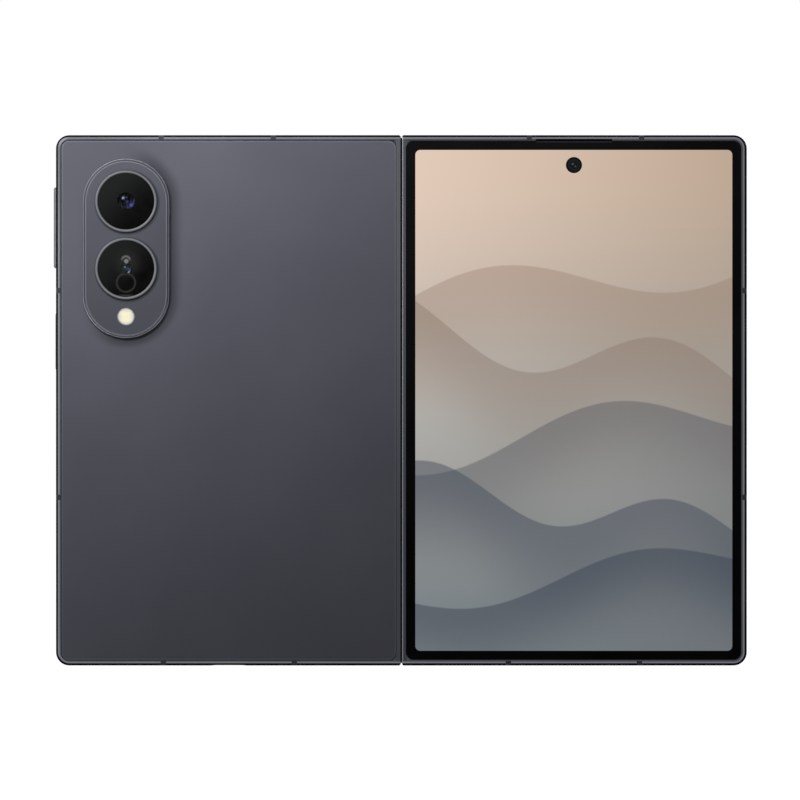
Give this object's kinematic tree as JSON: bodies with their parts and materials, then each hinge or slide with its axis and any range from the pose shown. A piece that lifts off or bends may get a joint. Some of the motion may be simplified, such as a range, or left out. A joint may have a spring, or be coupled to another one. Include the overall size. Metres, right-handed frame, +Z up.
{
  "type": "foldable smartphone",
  "caption": "Book-style folding smartphone with a camera island on the rear half, a cover display on the other half and a flexible inner display.",
  "frame": {"origin": "fold line at the bottom edge, in the middle of the phone's thickness, phone open and upright", "axes": "+X along the width towards the cover half, +Y from the outer face to the inner display, +Z up"},
  "size_m": [0.162, 0.0065, 0.1239],
  "materials": {
    "frame": "satin",
    "antenna_plastic": "matte",
    "back_glass": "matte",
    "island": "satin",
    "lens_ring": "satin",
    "lens_glass": "polished",
    "flash_glass": "satin",
    "cover_glass": "polished",
    "display": "gloss",
    "inner_display": "gloss",
    "soft_rim": "matte",
    "spine_metal": "satin",
    "steel": "satin",
    "gear_metal": "satin",
    "black_plastic": "matte",
    "board": "satin",
    "shield": "satin",
    "battery": "matte",
    "copper": "satin",
    "flex": "satin"
  },
  "bodies": {
    "spine": {"spine_cover": "spine_metal", "hinge_base_lower": "steel", "hinge_base_upper": "steel", "spine_end_caps": "black_plastic", "center_plate": "steel", "gear_shafts": "steel", "detent_springs": "steel", "spine_screws": "steel", "inner_display_fold": "inner_display", "fold_flex_cable": "flex"},
    "hinge_arms_rear": {"hinge_arm_rear_lower": "gear_metal", "hinge_arm_rear_upper": "gear_metal"},
    "hinge_arms_cover": {"hinge_arm_cover_lower": "gear_metal", "hinge_arm_cover_upper": "gear_metal"},
    "idlers_rear": {"idler_gears_rear": "gear_metal"},
    "idlers_cover": {"idler_gears_cover": "gear_metal"},
    "plate_rear": {"support_plate_rear": "steel"},
    "plate_cover": {"support_plate_cover": "steel"},
    "rear_half": {"rear_frame": "frame", "rear_antenna_breaks": "antenna_plastic", "rear_glass": "back_glass", "camera_island": "island", "lens_rings": "lens_ring", "lens_glasses": "lens_glass", "flash_lens": "flash_glass", "flash_lamp": "copper", "camera_module_upper": "black_plastic", "camera_module_lower": "black_plastic", "inner_camera": "black_plastic", "main_board": "board", "board_shield": "shield", "rear_battery": "battery", "charging_coil": "copper", "port_shell": "shield", "port_tongue": "black_plastic", "port_board": "board", "loudspeaker": "black_plastic", "vibration_motor": "shield", "key_switches": "copper", "inner_display_rear": "inner_display", "rear_bezel": "soft_rim", "rear_screws": "steel", "hinge_bracket_rear": "steel"},
    "cover_half": {"cover_frame": "frame", "cover_antenna_breaks": "antenna_plastic", "cover_glass": "cover_glass", "cover_display": "display", "front_camera": "black_plastic", "earpiece": "black_plastic", "earpiece_mesh": "steel", "cover_battery": "battery", "cover_board": "board", "sim_reader": "shield", "inner_display_cover": "inner_display", "cover_bezel": "soft_rim", "cover_screws": "steel", "hinge_bracket_cover": "steel"},
    "volume_key": {"volume_key": "frame"},
    "side_key": {"side_key": "frame"},
    "sim_tray": {"sim_tray": "frame"}
  },
  "joints": [
    {"name": "fold_cover", "type": "hinge", "parent": "spine", "child": "cover_half", "pos_m": [0.0014, 0.0011, 0], "axis": [0, 0, 1], "range_deg": [0, 90], "deforming": ["inner_display_fold", "fold_flex_cable"]},
    {"name": "fold_rear", "type": "hinge", "parent": "spine", "child": "rear_half", "pos_m": [-0.0014, 0.0011, 0], "axis": [0, 0, 1], "range_deg": [-90, 0], "deforming": ["inner_display_fold", "fold_flex_cable"]},
    {"name": "arms_cover_turn", "type": "hinge", "parent": "spine", "child": "hinge_arms_cover", "pos_m": [0.0021, 0.00035, 0], "axis": [0, 0, 1], "range_deg": [0, 90]},
    {"name": "arms_rear_turn", "type": "hinge", "parent": "spine", "child": "hinge_arms_rear", "pos_m": [-0.0021, 0.00035, 0], "axis": [0, 0, 1], "range_deg": [-90, 0]},
    {"name": "idlers_cover_turn", "type": "hinge", "parent": "spine", "child": "idlers_cover", "pos_m": [0.0007, 0.00035, 0], "axis": [0, 0, 1], "range_deg": [-90, 0]},
    {"name": "idlers_rear_turn", "type": "hinge", "parent": "spine", "child": "idlers_rear", "pos_m": [-0.0007, 0.00035, 0], "axis": [0, 0, 1], "range_deg": [0, 90]},
    {"name": "plate_cover_tilt", "type": "hinge", "parent": "cover_half", "child": "plate_cover", "pos_m": [0.0084, 0.00135, 0], "axis": [0, 0, 1], "range_deg": [0, 16]},
    {"name": "plate_rear_tilt", "type": "hinge", "parent": "rear_half", "child": "plate_rear", "pos_m": [-0.0084, 0.00135, 0], "axis": [0, 0, 1], "range_deg": [-16, 0]},
    {"name": "volume_key_rock", "type": "hinge", "parent": "rear_half", "child": "volume_key", "pos_m": [-0.07935, 0, 0.1023], "axis": [0, 1, 0], "range_deg": [-1, 1], "stiffness_Nm_per_rad": 0.5},
    {"name": "side_key_press", "type": "slide", "parent": "rear_half", "child": "side_key", "axis": [1, 0, 0], "range_m": [0, 0.00015], "stiffness_N_per_m": 2000},
    {"name": "sim_tray_slide", "type": "slide", "parent": "cover_half", "child": "sim_tray", "axis": [0, 0, 1], "range_m": [0, 0.014]}
  ],
  "couplings": [
    {"joint": "fold_rear", "follows": "fold_cover", "ratio": -1},
    {"joint": "arms_cover_turn", "follows": "fold_cover", "ratio": 1},
    {"joint": "arms_rear_turn", "follows": "fold_cover", "ratio": -1},
    {"joint": "idlers_cover_turn", "follows": "fold_cover", "ratio": -1},
    {"joint": "idlers_rear_turn", "follows": "fold_cover", "ratio": 1},
    {"joint": "plate_cover_tilt", "follows": "fold_cover", "ratio": 0.17778},
    {"joint": "plate_rear_tilt", "follows": "fold_cover", "ratio": -0.17778}
  ]
}
